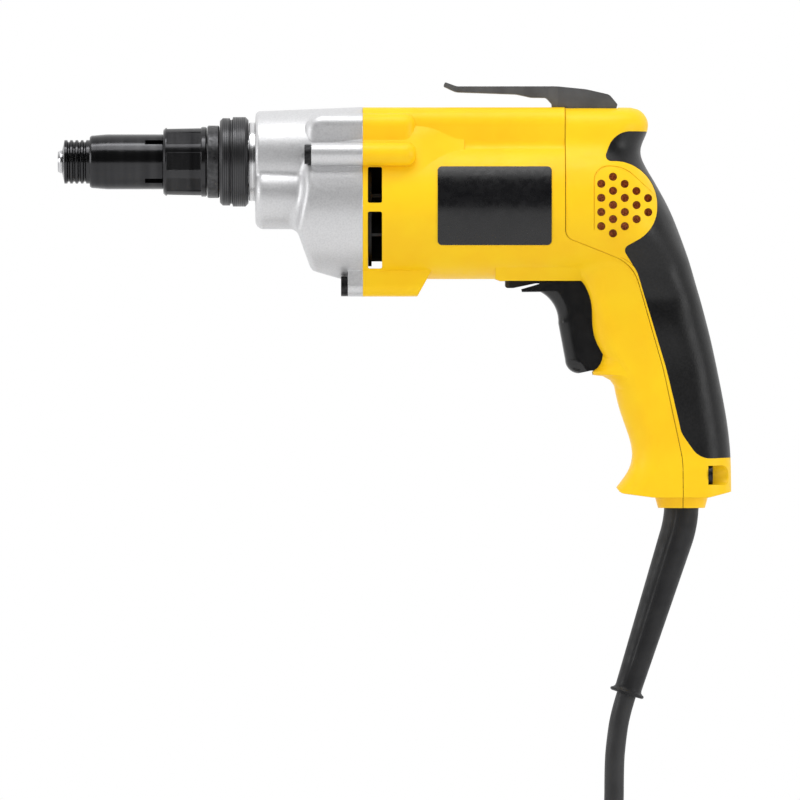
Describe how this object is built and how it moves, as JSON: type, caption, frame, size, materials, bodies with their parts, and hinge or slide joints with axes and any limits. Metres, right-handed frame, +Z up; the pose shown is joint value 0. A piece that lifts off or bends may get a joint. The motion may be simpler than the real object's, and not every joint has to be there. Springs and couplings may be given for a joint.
{
  "type": "electric screwdriver",
  "caption": "Corded pistol-grip screw gun with a depth-setting nose, a sensitive clutch, a geared motor, a trigger with reversing lever, a soft rear grip, a belt clip and a coiled power cord.",
  "frame": {"origin": "middle of the hand grip, on the tool's middle plane", "axes": "+Z up along the handle, the nose points along -X, +Y is the tool's right-hand side seen from behind the nose"},
  "size_m": [0.3156, 0.1355, 0.4231],
  "materials": {
    "yellow_plastic": "fine satin",
    "black_plastic": "satin",
    "grip_rubber": "matt",
    "cord_rubber": "satin",
    "case_metal": "fine cast, silver",
    "bright_steel": "turned",
    "dark_steel": "black, semi-gloss",
    "spring_steel": "drawn",
    "bronze": "sintered",
    "copper": "lacquered",
    "lamination": "stacked sheet",
    "carbon": "matt",
    "plate_black": "gloss",
    "clip_grey": "satin",
    "black_screws": "blackened",
    "blade_brass": "rolled"
  },
  "bodies": {
    "housing": {"nose_tube": "dark_steel", "detent_ring": "black_plastic", "collar_retaining_ring": "spring_steel", "front_spigot": "bright_steel", "spindle_front_bush": "bronze", "spindle_rear_bush": "bronze", "idler_front_bush": "bronze", "idler_rear_bush": "bronze", "gear_case": "case_metal", "gear_case_screws": "black_screws", "bearing_plate": "case_metal", "fan_baffle": "black_plastic", "front_motor_bearing": "bright_steel", "rear_motor_bearing": "bright_steel", "bearing_spider": "black_plastic", "field_core": "lamination", "field_coils": "copper", "brush_holders": "bronze", "carbon_brushes": "carbon", "brush_springs": "spring_steel", "motor_housing": "yellow_plastic", "nameplates": "plate_black", "rear_cover": "yellow_plastic", "rear_cover_screws": "black_screws", "rubber_grip": "grip_rubber", "belt_clip": "clip_grey", "belt_clip_screw": "black_screws", "switch_body": "black_plastic", "trigger_spring": "spring_steel", "cord_protector": "cord_rubber", "cord_inside": "cord_rubber", "cord_clamp": "black_plastic", "cord_clamp_screws": "black_screws", "cord_drop": "cord_rubber", "cord_coil": "cord_rubber", "cord_tail": "cord_rubber", "coil_tie": "grip_rubber", "plug_body": "cord_rubber", "plug_blades": "blade_brass"},
    "armature": {"armature_shaft": "bright_steel", "armature_core": "lamination", "armature_windings": "copper", "commutator": "copper", "cooling_fan": "black_plastic"},
    "idler": {"idler_pinion": "bright_steel", "idler_gear": "bright_steel"},
    "clutch_driver": {"clutch_gear": "bright_steel", "clutch_spring": "spring_steel"},
    "clutch_slider": {"thrust_washer": "bronze"},
    "spindle_unit": {"spindle": "bright_steel", "bit_holder": "bright_steel", "bit_magnet": "bright_steel", "bit_retaining_ring": "spring_steel"},
    "adjuster": {"adjusting_collar": "black_plastic"},
    "locator": {"depth_locator": "dark_steel", "nose_tip_ring": "bright_steel"},
    "lock": {"locking_collar": "black_plastic"},
    "trigger_unit": {"trigger": "black_plastic"},
    "reverser": {"reversing_lever": "black_plastic"}
  },
  "joints": [
    {"name": "armature_spin", "type": "hinge", "parent": "housing", "child": "armature", "pos_m": [-0.1, 0, 0.086], "axis": [1, 0, 0], "continuous": true},
    {"name": "idler_spin", "type": "hinge", "parent": "housing", "child": "idler", "pos_m": [-0.155, -0.01167, 0.09076], "axis": [1, 0, 0], "continuous": true},
    {"name": "clutch_gear_spin", "type": "hinge", "parent": "housing", "child": "clutch_driver", "pos_m": [-0.155, 0, 0.107], "axis": [1, 0, 0], "continuous": true},
    {"name": "spindle_slide", "type": "slide", "parent": "housing", "child": "clutch_slider", "axis": [1, 0, 0], "range_m": [0, 0.003], "stiffness_N_per_m": 2500, "springref_m": -0.003, "deforming": ["clutch_spring"]},
    {"name": "spindle_spin", "type": "hinge", "parent": "clutch_slider", "child": "spindle_unit", "pos_m": [-0.19, 0, 0.107], "axis": [1, 0, 0], "continuous": true},
    {"name": "adjusting_collar", "type": "hinge", "parent": "housing", "child": "adjuster", "pos_m": [-0.22, 0, 0.107], "axis": [1, 0, 0], "range_deg": [-720, 720]},
    {"name": "depth_locator_slide", "type": "slide", "parent": "housing", "child": "locator", "axis": [1, 0, 0], "range_m": [-0.005, 0.005]},
    {"name": "locking_collar", "type": "hinge", "parent": "housing", "child": "lock", "pos_m": [-0.197, 0, 0.107], "axis": [1, 0, 0], "range_deg": [0, 35]},
    {"name": "trigger_slide", "type": "slide", "parent": "housing", "child": "trigger_unit", "axis": [1, 0, 0], "range_m": [0, 0.007], "stiffness_N_per_m": 900, "springref_m": -0.004, "deforming": ["trigger_spring"]},
    {"name": "reversing_lever", "type": "hinge", "parent": "housing", "child": "reverser", "pos_m": [-0.04, 0, 0.0507], "axis": [0, 0, 1], "range_deg": [-12, 12]}
  ],
  "couplings": [
    {"joint": "idler_spin", "follows": "armature_spin", "ratio": -0.3125},
    {"joint": "clutch_gear_spin", "follows": "armature_spin", "ratio": 0.098684},
    {"joint": "adjusting_collar", "follows": "depth_locator_slide", "rad_per_m": 2513.3}
  ]
}
